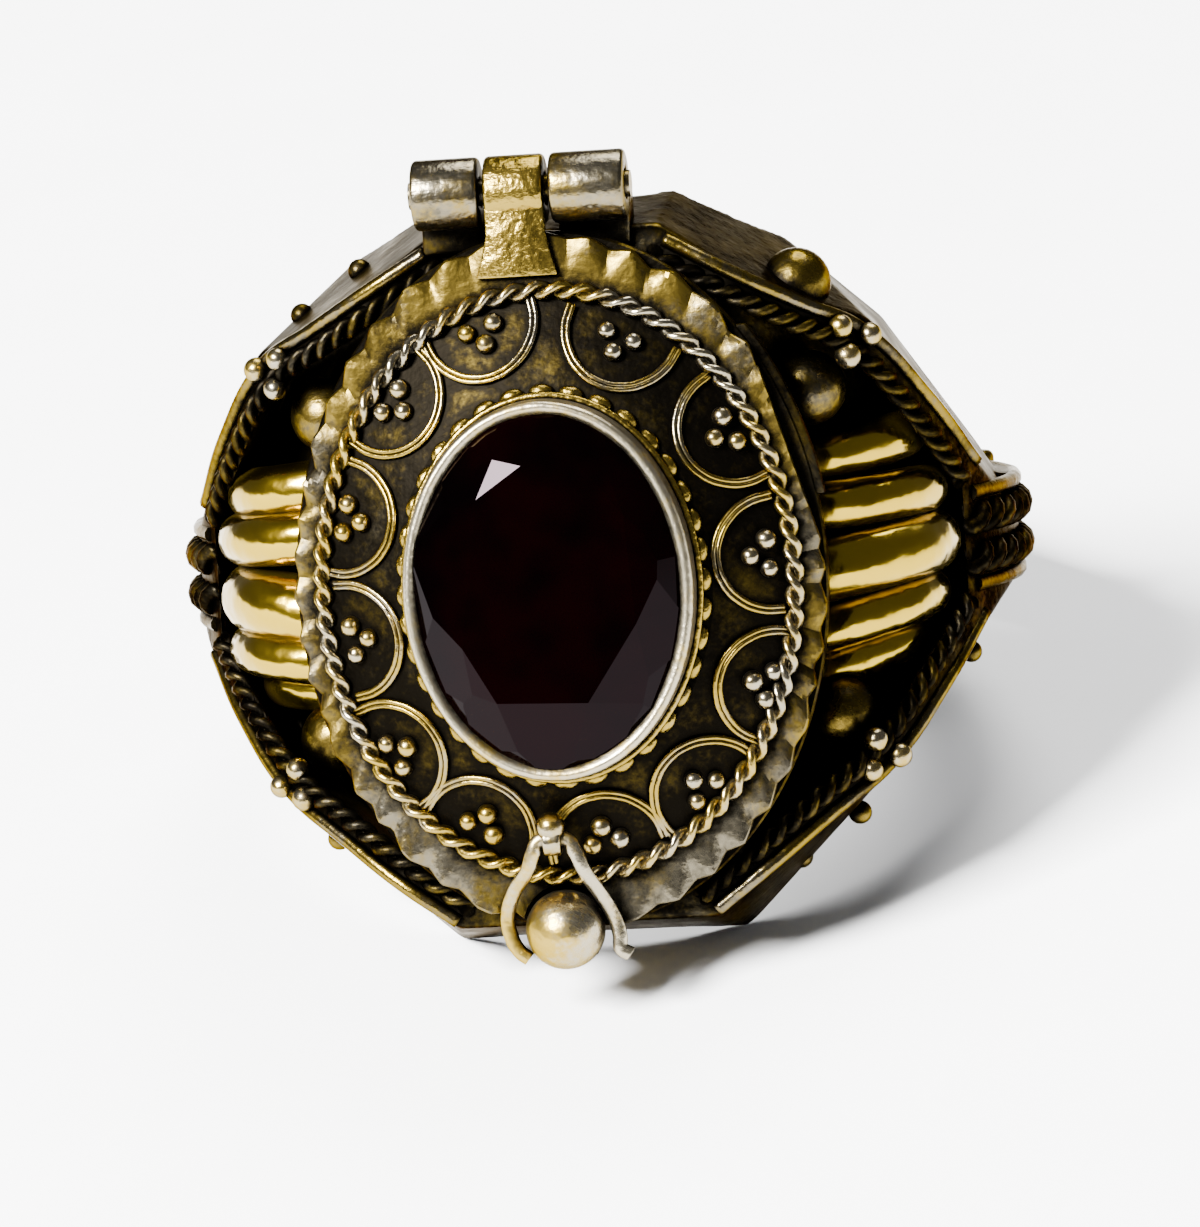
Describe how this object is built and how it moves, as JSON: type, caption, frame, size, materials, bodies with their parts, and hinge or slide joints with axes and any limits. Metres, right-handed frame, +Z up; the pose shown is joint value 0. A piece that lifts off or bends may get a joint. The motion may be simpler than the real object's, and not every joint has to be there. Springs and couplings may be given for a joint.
{
  "type": "poison ring",
  "caption": "Silver finger ring whose hinged oval lid, set with a dark faceted stone, closes a shallow box; a wire catch holds it, and gold domes flank it.",
  "frame": {"origin": "bottom centre of the bounding box, on the surface the ring lies on", "axes": "+Z up, +X to the right of a viewer facing the lid, -Y towards that viewer; the ring lies on its side with the hinge up and the lid's face tipped up by about 22 degrees"},
  "size_m": [0.0234, 0.0278, 0.0213],
  "materials": {
    "oxidised_silver": "oxidised sterling silver, black in the recesses and polished on the tops",
    "bright_silver": "polished sterling silver wire",
    "gold": "polished yellow gold sheet",
    "garnet": "polished near-black red garnet"
  },
  "bodies": {
    "ring": {"ring_body": "oxidised_silver", "gold_dome_left": "gold", "gold_dome_right": "gold", "hinge_pin": "oxidised_silver"},
    "lid": {"lid": "oxidised_silver", "stone": "garnet"},
    "catch": {"catch_fork": "bright_silver"}
  },
  "joints": [
    {"name": "lid_hinge", "type": "hinge", "parent": "ring", "child": "lid", "pos_m": [0, -0.00503, 0.02033], "axis": [-1, 0, 0], "range_deg": [0, 105]},
    {"name": "catch_swing", "type": "hinge", "parent": "lid", "child": "catch", "pos_m": [0, -0.01282, 0.00541], "axis": [-1, 0, 0], "range_deg": [0, 70]}
  ]
}
